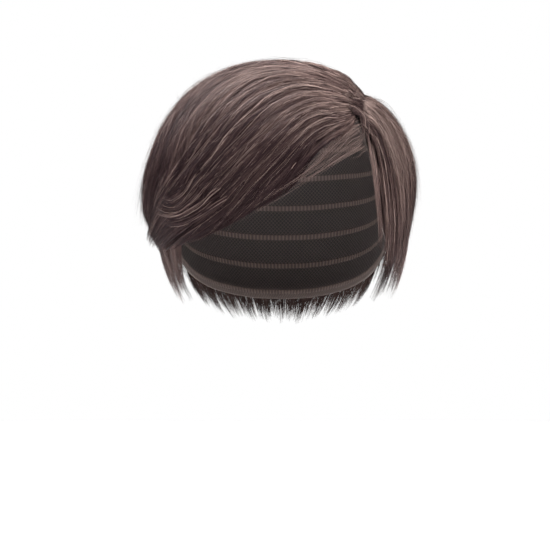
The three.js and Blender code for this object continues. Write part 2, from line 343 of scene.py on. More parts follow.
NAPE_UNDER = [
    (123, -8, 2.8, 126, -17, 3.6, 129, -28, 5, 133, -42, 5.2),
    (142, -8, 2.8, 144, -18, 3.8, 146, -30, 5.4, 149, -45, 5.6),
    (161, -8, 2.8, 162, -19, 4, 163, -31, 5.6, 165, -47, 5.8),
    (180, -8, 2.8, 180, -19, 4, 180, -32, 5.6, 180, -48, 5.8),
    (199, -8, 2.8, 198, -19, 4, 197, -31, 5.6, 195, -47, 5.8),
    (218, -8, 2.8, 216, -18, 3.8, 214, -30, 5.4, 211, -45, 5.6),
    (237, -8, 2.8, 234, -17, 3.6, 231, -28, 5, 227, -42, 5.2),
]


def vary(seed, index):
    """Repeatable variation between -1 and 1, the same as in the solids."""
    wave = math.sin(seed * 12.9898 + index * 78.233) * 43758.5453
    return 2 * (wave - math.floor(wave)) - 1


class Section:
    """A section of hair between two guides of a table: its flow and its locks."""

    def __init__(self, name, guides, span, inside, locks, relief, point, seed, rounding=ROOT_ROUNDING,
                 start=ROOT_START):
        self.name, self.span, self.locks, self.relief = name, span, locks, relief
        self.point, self.seed, self.rounding, self.start = point, seed, rounding, start
        rows = np.array(guides, float).reshape(len(guides), -1, 3)
        self.aims = direction(rows[..., 0], rows[..., 1])
        self.lifts = rows[..., 2]
        self.inside = np.array([ROOT_LIFT, *inside])
        edges = [lock + WIDTH_VARIATION * vary(seed + 2, lock) for lock in range(1, locks)]
        self.borders = np.array([0, *edges, locks]) / locks

    def lock_at(self, across):
        """For places across the section: how far its lock reaches and how high it stands there."""
        lock = np.clip(np.searchsorted(self.borders, across, "right") - 1, 0, self.locks - 1)
        left, right = self.borders[lock], self.borders[lock + 1]
        from_crest = np.clip(np.abs(2 * (across - left) / (right - left) - 1), 0, 1)
        inner = 1 - from_crest ** LOCK_BORDER_POWER
        trim = np.array([LENGTH_VARIATION * (1 + vary(self.seed, k)) for k in range(self.locks)])[lock]
        crest = np.array([HEIGHT_VARIATION * vary(self.seed + 1, k) for k in range(self.locks)])[lock]
        shortening = np.minimum(from_crest ** POINT_POWER + inner * trim, MOST_SHORTENING)
        return 1 - self.point * shortening, self.relief * (CREST_SHARE - from_crest ** 2 + inner * crest)

    def surface(self, across, share, notch=1.0):
        """Directions, outer lift and inner lift on a grid of places across and shares along the locks."""
        first, last = self.span
        guide = first + across * (last - first)
        aims, lifts = smooth(self.aims, guide), smooth(self.lifts, guide)
        aims /= np.linalg.norm(aims, axis=-1, keepdims=True)
        reach, hump = self.lock_at(across)
        reach = 1 - notch * (1 - reach)
        along = (self.lifts.shape[1] - 1) * reach[:, None] * share
        aim = np.stack([self.run_on(*pair) for pair in zip(aims, along)])
        aim /= np.linalg.norm(aim, axis=-1, keepdims=True)
        lift = np.stack([self.run_on(*pair) for pair in zip(lifts, along)])
        under = self.run_on(self.inside, along.ravel()).reshape(along.shape)
        sink = TIP_RELIEF + (1 - TIP_RELIEF) * np.clip((1 - share) / TIP_SINK, 0, 1)
        hump = np.clip(share / ROOT_RISE, 0, 1) * sink * hump[:, None]
        short = 1 - np.clip(share / self.rounding, 0, 1)
        rise = np.sqrt(1 - short ** 2 * (1 - ROOT_STEP ** 2))
        return aim, ROOT_LIFT + (lift + hump - ROOT_LIFT) * rise, under

    @staticmethod
    def run_on(values, u):
        """The smooth curve, continued straight past its ends."""
        last = len(values) - 1
        before, over = [extra.reshape(extra.shape + (1,) * (np.ndim(values) - 1))
                        for extra in (np.minimum(u, 0), np.maximum(u - last, 0))]
        ends = smooth(values, np.array([0, END_STEP, last - END_STEP, last]))
        return smooth(values, u) + (before * (ends[1] - ends[0]) + over * (ends[3] - ends[2])) / END_STEP

    def columns(self):
        return np.concatenate([np.linspace(self.borders[k], self.borders[k + 1], LOCK_COLUMNS, endpoint=False)
                               for k in range(self.locks)])


def lock_body(section, material, trim):
    """Closed body of locks: a loop of points round each column, outside to the tip and back inside."""
    across = trim[0] + (1 - trim[0] - trim[1]) * np.append(section.columns(), 1.0)
    share = np.linspace(0, 1, BODY_ROWS + 1) ** BODY_CROWDING * (1 - trim[2])
    aim, top, under = section.surface(across, share)
    taper = np.clip((share - TIP_TAPER_START) / (1 - TIP_TAPER_START), 0, 1)
    taper = taper * taper * (3 - 2 * taper)
    top = np.maximum(top - BODY_SINK, under + BODY_WALL)
    bottom = under + (np.maximum(under, top - TIP_THICKNESS) - under) * taper
    loop = np.concatenate([place_on_form(aim, top), place_on_form(aim, bottom)[:, ::-1]], 1)
    count, length = loop.shape[:2]
    turn = np.linspace(0, 1, length + 1)
    faces, uvs = [], []
    for column in range(count - 1):
        left, right = across[column], across[column + 1]
        for row in range(length):
            after = (row + 1) % length
            faces.append((column * length + row, column * length + after,
                          (column + 1) * length + after, (column + 1) * length + row))
            uvs += [(left, turn[row]), (left, turn[row + 1]), (right, turn[row + 1]), (right, turn[row])]
    for column, flip in ((0, False), (count - 1, True)):
        for row in range(length // 2 - 1):
            ends = [column * length + k for k in (row, length - 1 - row, length - 2 - row, row + 1)]
            faces.append(tuple(reversed(ends)) if flip else tuple(ends))
            side = 0.0 if column == 0 else 1 - EDGE_STRIP
            uvs += [(side, turn[row]), (side + EDGE_STRIP, turn[row]),
                    (side + EDGE_STRIP, turn[row + 1]), (side, turn[row + 1])]
    return add_piece(section.name + "_body", loop.reshape(-1, 3), faces, uvs, material)


def flow_sheet(sections):
    """Open sheet that faces outwards along the flow of sections; its UV is the guide and the share along it."""
    even = np.linspace(0, 1, SHEET_ROWS + 1) ** SHEET_CROWDING
    points, aims, across = [], [], []
    for section in sections:
        columns = section.columns()
        if section is sections[-1]:
            columns = np.append(columns, 1.0)
        share = section.start + (SHEET_END - section.start) * even
        aim, top, _ = section.surface(columns, share, NOTCH_SHARE)
        points.append(place_on_form(aim, top))
        aims.append(aim)
        across.append(section.span[0] + columns * (section.span[1] - section.span[0]))
    points, aims, across = np.concatenate(points), np.concatenate(aims), np.concatenate(across)
    middle = len(across) // 2, SHEET_ROWS // 2
    down, aside = points[middle[0], middle[1] + 1] - points[middle], points[middle[0] + 1, middle[1]] - points[middle]
    inwards = np.dot(np.cross(down, aside), aims[middle]) < 0
    rows = SHEET_ROWS + 1
    faces, uvs = [], []
    for column in range(len(across) - 1):
        left, right = across[column], across[column + 1]
        for row in range(SHEET_ROWS):
            face = [column * rows + row, column * rows + row + 1, (column + 1) * rows + row + 1,
                    (column + 1) * rows + row]
            corners = [(left, even[row]), (left, even[row + 1]), (right, even[row + 1]), (right, even[row])]
            faces.append(tuple(face[::-1] if inwards else face))
            uvs += corners[::-1] if inwards else corners
    return add_piece(sections[0].name + "_flow", points.reshape(-1, 3), faces, uvs, hair_body)


# Inputs of the strands: kind of socket and usual value. Places and distances across are in guides, thickness
# and heights in metres, and the rest are shares, counts and levels of shade.
STRAND_INPUTS = {
    "Flow sheet": ("Geometry", None),
    "Wisps": ("Int", 130), "Strands": ("Int", 12), "Points": ("Int", 9), "Thickness": ("Float", 0.00018),
    "From": ("Float", 0.0), "To": ("Float", 1.0), "Thinning": ("Float", 1.0),
    "Lowest": ("Float", 0.0), "Highest": ("Float", 1.0), "Ragged": ("Float", 0.3), "Soft edge": ("Float", 0.1),
    "Wisp width": ("Float", 0.04), "Wisp round": ("Float", 0.0004), "Gather": ("Float", 0.35),
    "Tilt": ("Float", 0.8), "Wave": ("Float", 0.03), "Cross": ("Float", 0.04),
    "Arch": ("Float", 0.0), "Fall": ("Float", 0.0),
    "Hook": ("Float", 0.0), "Hook from": ("Float", 0.0), "Hook to": ("Float", 1.0),
    "Lift": ("Float", -0.001), "Depth": ("Float", 0.0008), "Raise": ("Float", 0.0013), "Weave": ("Float", 0.0005),
    "Root sink": ("Float", 0.0004), "Root run": ("Float", 0.1), "Root spread": ("Float", 0.04),
    "Cut": ("Float", 0.0), "Cut from": ("Float", 0.0), "Tip kick": ("Float", 0.002),
    "Shortest": ("Float", 0.82), "Longest": ("Float", 0.96), "Uneven": ("Float", 0.1), "Stray": ("Float", 0.3),
    "Bright": ("Float", 0.012), "Tone": ("Float", 0.0), "Patches": ("Float", 0.5),
    "Glints": ("Float", 0.6), "Glint rate": ("Float", 16.0),
    # Darker tips are painted shade where the hair curves under; Side fade lessens it towards the sides.
    "Tip tone": ("Float", 0.0), "Tip from": ("Float", 0.5), "Tip to": ("Float", 0.95), "Side fade": ("Float", 0.0),
    "Dark": ("Float", 0.0), "Dark from": ("Float", 0.0), "Dark to": ("Float", 1.0),
    "Seed": ("Int", 1), "Hair": ("Material", None),
}
WISPS_IN_GROUP, STRAY_ABOVE, FULL_TURN = 9, 0.94, 6.28
ARCH_FADE, FALL_FADE, SIDE_FADE, HOOK_FADE = (5.0, 7.5), (6.0, 8.2), (4.4, 6.4), (0.3, 1.5)
FALL_START, FALL_RUN, FALL_POWER, FALL_ROOT = 0.35, 0.5, 1.3, 0.77
EDGE_MARGIN, BRIGHT_LIFT, BRIGHT_SHADE = 0.005, 0.0004, 0.9
# Shade by height, by weave and beside the middle of a wisp is painted shade; the other shares vary at random.
SHADE_BASE, PAINTED_SHADE_BY_HEIGHT, SHADE_WISP, SHADE_STRAND = 0.09, 0.17, 0.25, 0.24
SHADE_GROUP, PAINTED_SHADE_WEAVE, PAINTED_SHADE_BESIDE = 0.1, 0.05, 0.1
PATCH_RATES, GLINT_ALONG, SEED_STEP = (1.6, 3.5), 9.0, 0.37
SLUMP_LEAST, SLUMP_GAIN, SLUMP_OFFSET = 0.2, 3, 0.6
RIPPLE, CROSS_PIVOT, KICK_LEVEL, STRAY_LIFT = 0.15, 0.35, 0.4, 0.0016
TIP_NARROWING, WIDTH_LEAST, WIDTH_SPREAD, BRIGHT_WIDTH = 0.85, 0.7, 0.3, 0.2
UV_MARGIN, UV_SHADE, UV_AROUND, UV_ALONG = 0.01, 0.96, 0.02, 0.98


def strand_tree():
    """Strands in wisps that follow a flow sheet: each runs up the sheet's UV from root to tip."""
    tree = bpy.data.node_groups.new("hair_strands", "GeometryNodeTree")
    for name, (kind, _) in STRAND_INPUTS.items():
        tree.interface.new_socket(name, in_out="INPUT", socket_type="NodeSocket" + kind)
    tree.interface.new_socket("Strands", in_out="OUTPUT", socket_type="NodeSocketGeometry")
    wire = Wire(tree)
    size = wire.node("NodeGroupInput").output

    def chance(element, salt, low=0.0, high=1.0):
        return wire.node("FunctionNodeRandomValue", {"data_type": "FLOAT"},
                         {2: low, 3: high, "ID": element, "Seed": size("Seed") + salt}, out=1)

    def store(geometry, name, domain, value, kind="FLOAT"):
        return wire.node("GeometryNodeStoreNamedAttribute", {"data_type": kind, "domain": domain},
                         {"Geometry": geometry, "Name": name, "Value": value})

    def read(name, kind="FLOAT"):
        return wire.node("GeometryNodeInputNamedAttribute", {"data_type": kind}, {"Name": name})

    line = wire.node("GeometryNodeCurvePrimitiveLine")
    line = wire.node("GeometryNodeResampleCurve", None, {"Curve": line, "Count": size("Points")})
    roots = wire.node("GeometryNodePoints", None, {"Count": size("Wisps") * size("Strands")})
    roots = store(roots, "strand", "POINT", wire.node("GeometryNodeInputIndex"), "INT")
    lines = wire.node("GeometryNodeInstanceOnPoints", None, {"Points": roots, "Instance": line})
    lines = wire.node("GeometryNodeRealizeInstances", None, {"Geometry": lines})

    strand = read("strand", "INT")
    wisp = ((strand + 0.5) / size("Strands")).floor()
    group = (wisp / WISPS_IN_GROUP).floor()
    along = wire.node("GeometryNodeSplineParameter")
    stray = chance(strand, 1) > STRAY_ABOVE
    bright = size("Bright") > chance(strand, 19)
    beside = chance(strand, 2) + chance(strand, 3) - 1
    share = ((wisp + chance(wisp, 8)) / size("Wisps")) ** size("Thinning")
    home = size("From") + (size("To") - size("From")) * share
    hooked = home.step(size("Hook from") - HOOK_FADE[0], size("Hook from"))
    hooked = hooked * (1 - home.step(size("Hook to"), size("Hook to") + HOOK_FADE[1])) * chance(wisp, 6, 0.5, 1.0)
    longest = size("Shortest") + (size("Longest") - size("Shortest")) * chance(wisp, 9)
    end = longest + (chance(strand, 10) - 0.5) * size("Uneven")
    end = end - size("Cut") * home.step(size("Cut from"), size("Cut from") + 1)
    arched = size("Arch") * (1 - home.step(*ARCH_FADE))
    slump = size("Fall") * (SLUMP_LEAST + SLUMP_GAIN / (home + SLUMP_OFFSET)) * (1 - home.step(*FALL_FADE))
    room = (home + arched - size("Lowest") + chance(wisp, 25, -0.15, 0.1)).most(0.02) / slump.most(0.001)
    end = end.least(FALL_START + FALL_RUN * room ** FALL_ROOT)
    start = chance(strand, 11) * size("Root spread")
    down = start + (end - start) * along
    spread = beside * size("Wisp width") * (1 - size("Gather") * along ** 1.5)
    sway = (along * chance(wisp, 4, 3.0, 9.0) + chance(wisp, 5, 0.0, FULL_TURN)).sin()
    ripple = (along * chance(strand, 20, 4.0, 14.0) + chance(strand, 21, 0.0, FULL_TURN)).sin() * RIPPLE
    sway = (sway + ripple) * size("Wave") * along.step(0.0, 0.5)
    sway = sway + size("Cross") * (chance(wisp, 24) - 0.5) * (along - CROSS_PIVOT)
    loose = stray * (chance(strand, 7) - 0.5) * size("Stray") * along
    fallen = ((down.least(chance(wisp, 26, 0.7, 0.84)) - FALL_START).most(0.0) / FALL_RUN) ** FALL_POWER
    across = home + spread + sway + loose + arched * down.step(0.0, 0.3) - slump * fallen
    across = across + size("Hook") * hooked * along.step(0.6, 1.0)
    ragged = EDGE_MARGIN + size("Ragged") * chance(strand, 27)
    across = across.math("SMOOTH_MAX", across, size("Lowest") + ragged, size("Soft edge"))
    across = across.math("SMOOTH_MIN", across, size("Highest") - ragged, size("Soft edge"))
    across = across.most(size("Lowest") + EDGE_MARGIN).least(size("Highest") - EDGE_MARGIN)
    place = wire.node("ShaderNodeCombineXYZ", None, {"X": across, "Y": down.most(0.001).least(0.999)})
    pattern = read("OFBake", "FLOAT_VECTOR")

    def on_sheet(value):
        return wire.node("GeometryNodeSampleUVSurface", {"data_type": "FLOAT_VECTOR"},
                         {"Mesh": size("Flow sheet"), "Value": value, 2: pattern, "Sample UV": place})

    risen = along.step(0.0, size("Root run"))
    weave = (along * chance(wisp, 29, 5.0, 14.0) + chance(wisp, 30, 0.0, FULL_TURN)).sin()
    above = chance(wisp, 12)
    lift = size("Lift") + size("Raise") * (above - 0.5) + size("Weave") * weave
    lift = lift - size("Depth") * chance(strand, 13) ** 1.5 * (1 - bright)
    lift = lift - size("Wisp round") * beside * beside + BRIGHT_LIFT * bright
    lift = lift * risen - size("Root sink") * (1 - risen)
    lift = lift + size("Tip kick") * (chance(wisp, 14) - KICK_LEVEL) * along ** 4
    lift = lift + stray * chance(strand, 15, 0.0, STRAY_LIFT) * (along * 3.0).sin()
    outwards = on_sheet(wire.node("GeometryNodeInputNormal"))
    moved = wire.node("ShaderNodeVectorMath", {"operation": "SCALE"}, {0: outwards, "Scale": lift})
    point = wire.node("ShaderNodeVectorMath", {"operation": "ADD"},
                      {0: on_sheet(wire.node("GeometryNodeInputPosition")), 1: moved})
    lines = wire.node("GeometryNodeSetCurveNormal", {"mode": "FREE"}, {"Curve": lines, "Normal": outwards})
    tilt = size("Tilt") * (chance(strand, 28) - 0.5)
    lines = wire.node("GeometryNodeSetCurveTilt", None, {"Curve": lines, "Tilt": tilt})
    lines = wire.node("GeometryNodeSetPosition", None, {"Geometry": lines, "Position": point})

    def uneven(across_rate, along_rate):
        at = wire.node("ShaderNodeCombineXYZ", None,
                       {"X": home * across_rate, "Y": along * along_rate, "Z": size("Seed") * SEED_STEP})
        return wire.node("ShaderNodeTexNoise", None, {"Vector": at, "Scale": 1.0, "Detail": 1.0}, out="Fac") - 0.5

    # Higher wisps painted lighter and lower ones darker: painted shade from the wisps above them.
    shade = SHADE_BASE + PAINTED_SHADE_BY_HEIGHT * above + SHADE_WISP * chance(wisp, 16) + SHADE_STRAND * chance(strand, 17)
    shade = shade + SHADE_GROUP * (chance(group, 23) - 0.5) + size("Patches") * uneven(*PATCH_RATES)
    # Strands painted darker where they weave under others: painted shade.
    shade = shade + size("Glints") * uneven(size("Glint rate"), GLINT_ALONG) + PAINTED_SHADE_WEAVE * weave
    # Tips painted darker: painted shade where the hair curves under, faded out towards the sides.
    painted_tip_shade = size("Tip tone") * (1 - size("Side fade") * home.step(*SIDE_FADE))
    shade = shade + size("Tone") - painted_tip_shade * along.step(size("Tip from"), size("Tip to"))
    shade = shade - size("Dark") * home.step(size("Dark from"), size("Dark to"))
    # Strands painted darker towards the edges of their wisp: painted shade in the gaps between wisps.
    shade = (shade - PAINTED_SHADE_BESIDE * beside * beside).most(0.0)
    shade = (shade + bright * (BRIGHT_SHADE - shade) * chance(strand, 22, 0.3, 1.0)).least(1.0)
    lines = store(lines, "shade", "POINT", shade)
    lines = store(lines, "along", "POINT", along)
    taper = (1 - TIP_NARROWING * along ** 3) * (WIDTH_LEAST + WIDTH_SPREAD * chance(strand, 18))
    taper = taper * (1 + BRIGHT_WIDTH * bright)
    lines = wire.node("GeometryNodeSetCurveRadius", None, {"Curve": lines, "Radius": taper * size("Thickness")})
    width = wire.node("GeometryNodeCurvePrimitiveLine", None, {"Start": (0, -1, 0), "End": (0, 1, 0)})
    width = store(width, "around", "POINT", wire.node("GeometryNodeSplineParameter"))
    fibres = wire.node("GeometryNodeCurveToMesh", None, {
        "Curve": lines, "Profile Curve": width, "Scale": wire.node("GeometryNodeInputRadius")})
    flat = wire.node("ShaderNodeCombineXYZ", None, {
        "X": UV_MARGIN + UV_SHADE * read("shade") + UV_AROUND * read("around"),
        "Y": UV_MARGIN + UV_ALONG * read("along")})
    fibres = store(fibres, "OFBake", "CORNER", flat, "FLOAT2")
    fibres = wire.node("GeometryNodeSetShadeSmooth", None, {"Geometry": fibres})
    fibres = wire.node("GeometryNodeRealizeInstances", None, {"Geometry": fibres})
    fibres = wire.node("GeometryNodeSetMaterial", None, {"Geometry": fibres, "Material": size("Hair")})
    wire.node("NodeGroupOutput", None, {"Strands": fibres})
    return tree


def strand_hair(name, tint, root_depth, root_shadow_reach):
    material, wire = new_material(name)
    uv = wire.node("ShaderNodeUVMap", {"uv_map": "OFBake"})
    parts = wire.node("ShaderNodeSeparateXYZ", None, {"Vector": uv})
    shade, along = parts.output("X"), parts.output("Y")
    tone = wire.node("ShaderNodeValToRGB", {"stops": tint}, {"Fac": shade})
    # Roots are painted darker: painted shade where they lie under the hair.
    depth = root_depth + (1 - root_depth) * along.step(0.0, root_shadow_reach)
    root_shadow_grey = wire.node("ShaderNodeCombineColor", None, {"Red": depth, "Green": depth, "Blue": depth})
    tone = wire.node("ShaderNodeMix", {"data_type": "RGBA", "blend_type": "MULTIPLY"},
                     {0: 1.0, 6: tone, 7: root_shadow_grey}, out=2)
    finish_material(wire, {"Base Color": tone, "Roughness": 0.45 - 0.1 * shade, "Specular IOR Level": 0.015})
    return material


def body_hair():
    material, wire = new_material("hair_body")
    uv = wire.node("ShaderNodeUVMap", {"uv_map": "OFBake"})
    stretched = wire.node("ShaderNodeMapping", None, {"Vector": uv, "Scale": (260.0, 7.0, 1.0)})
    streak = wire.node("ShaderNodeTexNoise", None, {"Vector": stretched, "Scale": 1.0, "Detail": 3.0}, out="Fac")
    tone = wire.node("ShaderNodeValToRGB", {"stops": BODY_SHADOW_TINT}, {"Fac": streak})
    bump = wire.node("ShaderNodeBump", None, {"Height": streak, "Strength": 0.8, "Distance": 0.0006})
    finish_material(wire, {"Base Color": tone, "Roughness": 0.6, "Specular IOR Level": 0.03, "Normal": bump})
    return material


# The bodies are near black: painted shade deep in the hair between the strands.
BODY_SHADOW_TINT = [(0.3, (0.004, 0.002, 0.003)), (0.75, (0.02, 0.012, 0.011))]
hair_body = body_hair()
strands_tree = strand_tree()
UNDER_TINT = [(0.0, (0.016, 0.0094, 0.0094)), (0.5, (0.062, 0.04, 0.0365)), (1.0, (0.17, 0.12, 0.107))]
under_hair = strand_hair("under_hair", UNDER_TINT, root_depth=0.7, root_shadow_reach=0.35)


def lay_strands(name, sections, slot, **sizes):
    """Strands along the flow of sections, as one mesh; sizes are inputs of the strand tree."""
    sheet = flow_sheet(sections)
    modifier = sheet.modifiers.new("strands", "NODES")
    modifier.node_group = strands_tree
    ends = {"Lowest": sections[0].span[0], "Highest": sections[-1].span[1]}
    for item in strands_tree.interface.items_tree:
        if item.in_out == "INPUT" and item.name != "Flow sheet":
            kind, usual = STRAND_INPUTS[item.name]
            value = sizes.get(item.name.replace(" ", "_"), ends.get(item.name, usual))
            modifier[item.identifier] = float(value) if kind == "Float" else value
    evaluated = sheet.evaluated_get(bpy.context.evaluated_depsgraph_get())
    mesh = bpy.data.meshes.new_from_object(evaluated)
    mesh.name = name
    bpy.data.objects.remove(sheet)
    strands = bpy.data.objects.new(name, mesh)
    bpy.context.scene.collection.objects.link(strands)
    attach(strands, "root")


def lay_body(section, trim=(0.004, 0.004, 0.28)):
    """Body of a section; trim holds the shares left off at its first side, its last side and its tips."""
    body = lock_body(section, hair_body, trim)
    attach(body, "root")
    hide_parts(section.name)


nape = Section("nape_under", NAPE_UNDER, span=(0, 6), inside=(1.8, 2, 2.4), locks=11, relief=1.2, point=0.18, seed=31)
lay_body(nape, trim=(0.004, 0.004, 0.36))
lay_strands("nape_strands", [nape], "under_hair", To=6, Wisps=300, Strands=14, Wisp_width=0.08, Gather=0, Lift=0,
            Depth=0.0006, Shortest=0.83, Longest=0.96, Uneven=0.15, Hair=under_hair, Seed=11)
right_under = Section("right_side_under", RIGHT_UNDER, span=(0, 5), inside=(1.8, 2, 2.4), locks=10, relief=1.2,
                      point=0.2, seed=23)
lay_body(right_under)
lay_strands("right_under_strands", [right_under], "under_hair", To=5, Wisps=240, Strands=14, Wisp_width=0.08,
            Gather=0, Lift=0, Depth=0.0006, Uneven=0.25, Glints=1.2, Glint_rate=9, Tone=-0.08, Tip_tone=0.15,
            Hair=under_hair, Seed=23)
left_under = Section("left_side_under", LEFT_UNDER, span=(0, 6), inside=(1.8, 2, 2.4), locks=10, relief=1.2,
                     point=0.2, seed=29, start=-0.16)
lay_body(left_under, trim=(0.12, 0.004, 0.28))
lay_strands("left_under_strands", [left_under], "under_hair", To=6, Thinning=0.65, Wisps=240, Strands=14, Ragged=0.5,
            Wisp_width=0.08, Gather=0, Lift=0, Depth=0.0006, Shortest=0.62, Longest=0.8, Cut=-0.18, Cut_from=2.5,
            Uneven=0.25, Glints=1.2, Glint_rate=9, Tip_tone=0.2, Hair=under_hair, Seed=37)


# Outer hair: long synthetic hair sewn along the parting, combed over the crown, across the forehead and down
# the sides. One table of guides runs from the lower edge of the fringe round the head to the left temple.
# Each of its four sections has a body of fused locks, painted dark as shade, that its strands lie on.
OUTER = [
    (35.5, 31, 5, 16, 9, 6, -14.5, -8.5, 9, -45, -20, 10),
    (36.5, 35, 6, 14, 19, 9, -15, 0, 11.5, -52, -18, 13),
    (38.5, 38.2, 7, 11, 27, 11, -18, 7, 13.5, -57, -15.5, 15),
    (42.5, 42.5, 8, 7, 35, 12, -24, 14, 14.5, -62, -13.5, 16.5),
    (50, 47, 9, -3, 46, 12, -38, 21, 14.5, -70, -11, 18),
    (63, 51.5, 10, -20, 62, 10, -58, 28, 13.5, -83, -9, 20.5),
    (88, 56, 10, -80, 76, 9, -84, 32, 12.5, -98, -9.5, 19),
    (120, 59.5, 9, -150, 66, 10, -112, 30, 12.5, -113, -12, 15.5),
    (144, 61, 7, -168, 53, 11, -136, 22, 14, -128, -16, 15),
    (152, 58.5, 6.5, 180, 47, 11, -158, 14, 15, -150, -22, 13),
    (153, 55.5, 6.5, 171, 44, 11, 180, 9, 15.5, 180, -26, 13),
    (148, 53.5, 6.5, 163, 43, 10.5, 157, 13, 15, 150, -24, 13),
    (139, 54, 6.5, 150, 45, 10, 135, 15, 14.5, 128, -19, 12.5),
    (118, 57, 6, 118, 46, 9.5, 113, 17, 14, 112, -17, 11.5),
    (90, 54, 6, 95, 42, 10, 95, 14, 14.5, 98, -14, 11),
    (65, 49.7, 6, 74, 39, 10.5, 79, 11, 14.5, 86, -14, 11),
    (52, 44.5, 5.5, 59, 35, 9.5, 65, 8, 12.5, 76, -19, 10.5),
    (41, 34, 5, 47, 27, 7, 52, 3, 9, 60, -24, 8.5),
]
OUTER_TINT = [(0.0, (0.006, 0.0034, 0.0039)), (0.25, (0.0172, 0.0099, 0.0106)), (0.55, (0.05, 0.032, 0.0283)),
              (1.0, (0.19, 0.138, 0.122))]
outer_hair = strand_hair("outer_hair", OUTER_TINT, root_depth=0.6, root_shadow_reach=0.1)
back = Section("back_fall", OUTER, span=(8, 12), inside=(2.8, 5.5, 7.4), locks=11, relief=3, point=0.09, seed=11)
left_side = Section("left_side_fall", OUTER, span=(12, 17), inside=(2.6, 5.6, 7), locks=11, relief=2.6, point=0.12,
                    seed=19, rounding=0.03, start=-0.05)
crown = Section("crown_sweep", OUTER, span=(3, 8), inside=(3.4, 6.2, 9.5), locks=13, relief=3, point=0.07, seed=7,
                start=-0.03)
fringe = Section("fringe_sweep", OUTER, span=(0, 3), inside=(2.6, 4, 5.6), locks=9, relief=2.6, point=0.07, seed=3)
outer = [fringe, crown, back, left_side]
for section in (back, crown):
    lay_body(section)
lay_body(left_side, trim=(0.004, 0.1, 0.28))
lay_body(fringe, trim=(0.32, 0.004, 0.2))


# Middle layer: hair of a length between the outer hair and the short layers, which fills the step between them.
# It is loose fibre sewn to the cap, from the right temple round the back to the left one.
MIDDLE = [
    (-58, 4, 11, -58, -8, 12, -59, -17, 10, -60, -27, 6),
    (-75, 8, 12, -75, -4, 15, -76, -14, 11, -77, -25, 6.5),
    (-92, 10, 13, -92, -2, 16, -93, -11, 12, -94, -23, 7),
    (-110, 10, 11, -110, -3, 13, -110, -14, 10.5, -111, -27, 7.5),
    (-130, 8, 11, -129, -7, 12, -129, -20, 10, -129, -34, 7),
    (-155, 4, 12, -154, -12, 12, -153, -25, 10, -153, -38, 7),
    (180, 0, 12, 180, -16, 12, 180, -29, 10, 180, -41, 7),
    (155, 4, 12, 154, -12, 12, 153, -25, 10, 153, -38, 7),
    (130, 8, 11, 129, -8, 11, 129, -21, 9.5, 129, -34, 7.5),
    (110, 10, 10, 110, -4, 10.5, 110, -17, 10, 110, -30, 9),
    (92, 10, 10, 92, -2, 10.5, 93, -14, 10.5, 94, -27, 10),
    (75, 8, 10, 75, -5, 10, 76, -18, 9.5, 77, -32, 9.5),
    (60, 0, 7, 60, -10, 8, 61, -22, 7, 62, -33, 5.5),
]
middle = Section("middle_layer", MIDDLE, span=(0, 12), inside=(2, 2, 2), locks=24, relief=1.2, point=0.2, seed=41)
lay_strands("middle_strands", [middle], "outer_hair", To=12, Wisps=320, Strands=16, Gather=0.3, Lift=0, Shortest=0.6,
            Longest=1.0, Uneven=0.2, Tone=-0.1, Hair=outer_hair, Seed=43)


# Strands of the back and the left side: long fibres that fall from the parting over the middle layer.
# They follow the outer guides, in wisps that gather towards their tips.
# The back strands are toned darker than the front hair: painted shade.
lay_strands("back_strands", outer, "outer_hair", From=7.9, To=12.1, Wisps=260, Strands=18, Points=12,
            Uneven=0.2, Tone=-0.15, Hair=outer_hair, Seed=51)
# They are toned darker, and lighter towards their front edge: painted shade and painted light.
lay_strands("left_side_strands", outer, "outer_hair", From=12, To=17, Wisps=280, Strands=18, Points=11,
            Gather=0.45, Wave=0.06, Cross=0.14, Root_spread=0.09, Shortest=0.74, Uneven=0.3, Glints=1.4, Glint_rate=6,
            Tone=-0.08, Dark=-0.32, Dark_from=14.8, Dark_to=16.3, Tip_tone=0.3, Hair=outer_hair, Seed=67)


# Front edge of the left side: fibres that close the step from the outer hair in to the short layer.
# They are sewn to the edge of the cap in front of the left ear.
LEFT_EDGE = [
    (42, 35, 5.5, 48, 28, 7.5, 53, 4, 9.5, 61, -24, 9),
    (40.5, 33, 4.5, 45.5, 25, 6, 49, 2, 7.5, 57, -25, 7),
    (40, 31, 3.5, 43, 21, 4.5, 45, -1, 5, 52, -26, 5),
]
left_edge = Section("left_edge", LEFT_EDGE, span=(0, 2), inside=(2, 2, 2), locks=6, relief=0.8, point=0.15, seed=47)
lay_strands("left_edge_strands", [left_edge], "outer_hair", To=2, Wisps=90, Strands=12, Points=10, Ragged=0.5,
            Wave=0.08, Cross=0.25, Lift=0, Depth=0.0012, Shortest=0.7, Longest=1.0, Uneven=0.3, Glints=1.2,
            Glint_rate=12, Tone=-0.05, Hair=outer_hair, Seed=71)


# Strands of the crown and the fringe: long fibres combed from the parting to the right, which arch over the top
# and fall across the forehead. A few lighter streaks lie on them.
# Their tips and the guides towards the back are painted darker: painted shade.
lay_strands("crown_strands", outer, "outer_hair", From=3.2, To=8, Wisps=300, Strands=20, Points=13, Arch=0.65, Fall=1,
            Hook=-1, Hook_from=4, Hook_to=5.8, Shortest=0.84, Longest=0.94, Cut=0.05, Cut_from=4.2, Tip_tone=0.35,
            Tip_from=0.35, Tip_to=0.95, Side_fade=0.7, Dark=0.15, Dark_from=5.8, Dark_to=7.2, Hair=outer_hair, Seed=83)
lay_strands("fringe_strands", outer, "outer_hair", From=0.1, To=3.4, Thinning=0.7, Wisps=320, Strands=22, Points=13,
            Ragged=0.7, Soft_edge=0.5, Arch=0.65, Fall=1, Hook=0.4, Hook_from=2.2, Hook_to=3.2, Shortest=0.88,
            Longest=0.97, Tip_tone=0.34, Tip_from=0.1, Tip_to=0.8, Hair=outer_hair, Seed=97)
